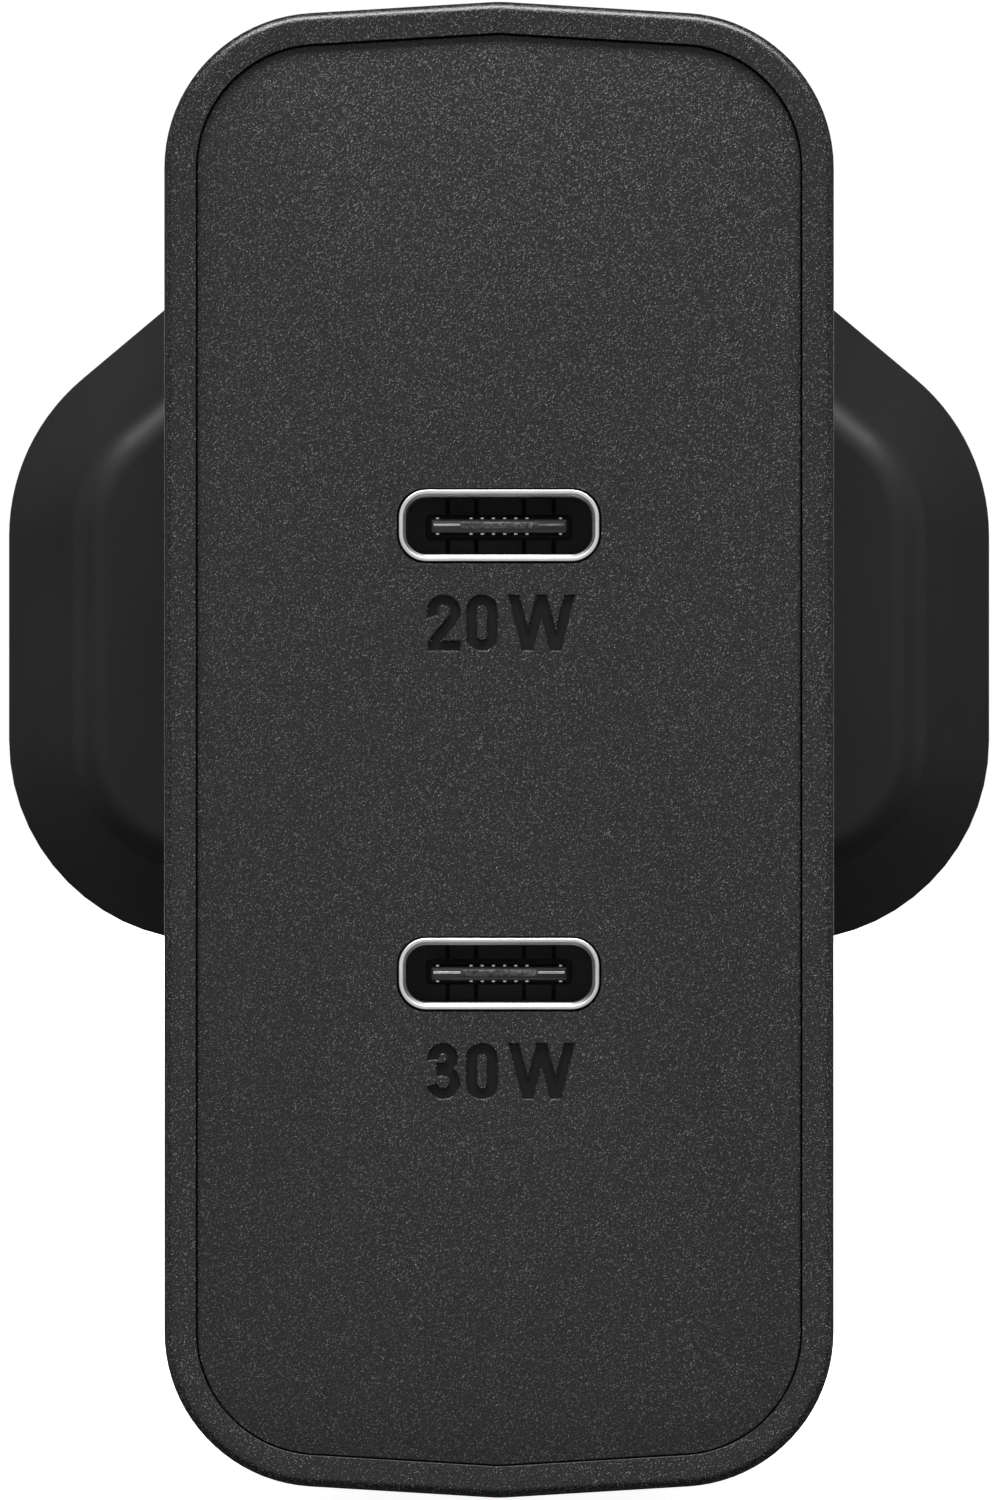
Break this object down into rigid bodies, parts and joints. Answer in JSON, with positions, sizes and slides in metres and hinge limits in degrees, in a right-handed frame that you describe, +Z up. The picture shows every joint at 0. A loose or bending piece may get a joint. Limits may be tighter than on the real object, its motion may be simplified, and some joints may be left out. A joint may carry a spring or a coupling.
{
  "type": "usb wall charger",
  "caption": "Slim upright wall charger with a fixed three-pin plug behind and USB-C outlets in its front face, dark grained housing.",
  "frame": {"origin": "on the flat engagement face of the plug, midway between the live and neutral pins", "axes": "+Y the way the pins point, into the wall outlet; +Z up, towards the earth pin; +X to the right seen from the front, where the outlets are"},
  "size_m": [0.0476, 0.0647, 0.0668],
  "materials": {
    "housing": "fine moulded grain, dark charcoal grey",
    "plug_plastic": "smooth satin charcoal",
    "pin_plastic": "smooth black nylon",
    "pin_metal": "bright nickel-plated brass",
    "inner_plastic": "plain black moulding",
    "screw_steel": "zinc-plated steel",
    "copper_strip": "tinned copper alloy strip",
    "circuit_board": "green solder mask on glass-epoxy board",
    "fuse_ceramic": "off-white ceramic tube",
    "ferrite": "dark grey sintered ferrite",
    "copper_wire": "enamelled copper wire",
    "capacitor_film": "yellow plastic box",
    "chip_resin": "black moulding resin",
    "capacitor_sleeve": "dark plastic sleeve on an aluminium can",
    "winding_tape": "yellow polyester tape over copper wire",
    "capacitor_disc": "blue dipped ceramic disc",
    "barrier_film": "translucent insulating film",
    "thermal_silicone": "soft grey thermal silicone",
    "spreader_aluminium": "plain aluminium sheet",
    "port_steel": "bright nickel-plated stainless shell",
    "port_plastic": "black high-temperature nylon",
    "capacitor_can": "bare aluminium can"
  },
  "bodies": {
    "root": {"housing_sleeve": "housing", "front_panel": "housing", "plug_base": "plug_plastic", "earth_pin": "pin_plastic", "live_pin": "pin_metal", "neutral_pin": "pin_metal", "live_pin_cover": "pin_plastic", "neutral_pin_cover": "pin_plastic", "pin_retainer": "inner_plastic", "retainer_screw_1": "screw_steel", "retainer_screw_2": "screw_steel", "retainer_screw_3": "screw_steel", "live_contact_spring": "copper_strip", "neutral_contact_spring": "copper_strip", "input_board": "circuit_board", "fuse": "fuse_ceramic", "board_link": "inner_plastic", "power_board": "circuit_board", "choke_core": "ferrite", "choke_winding_a": "copper_wire", "choke_winding_b": "copper_wire", "x_capacitor": "capacitor_film", "bridge_rectifier": "chip_resin", "power_switch_ic": "chip_resin", "bulk_capacitor_1": "capacitor_sleeve", "bulk_capacitor_2": "capacitor_sleeve", "transformer_core_a": "ferrite", "transformer_core_b": "ferrite", "transformer_bobbin": "inner_plastic", "transformer_winding": "winding_tape", "y_capacitor": "capacitor_disc", "insulation_barrier": "barrier_film", "thermal_pad": "thermal_silicone", "heat_spreader": "spreader_aluminium", "output_board": "circuit_board", "board_header": "inner_plastic", "sync_rectifier_ic": "chip_resin", "upper_port_shell": "port_steel", "lower_port_shell": "port_steel", "upper_port_insert": "port_plastic", "lower_port_insert": "port_plastic", "upper_port_controller": "chip_resin", "lower_port_controller": "chip_resin", "output_capacitor_1": "capacitor_can", "output_capacitor_2": "capacitor_can", "output_inductor_1": "ferrite", "output_inductor_2": "ferrite"}
  },
  "joints": []
}
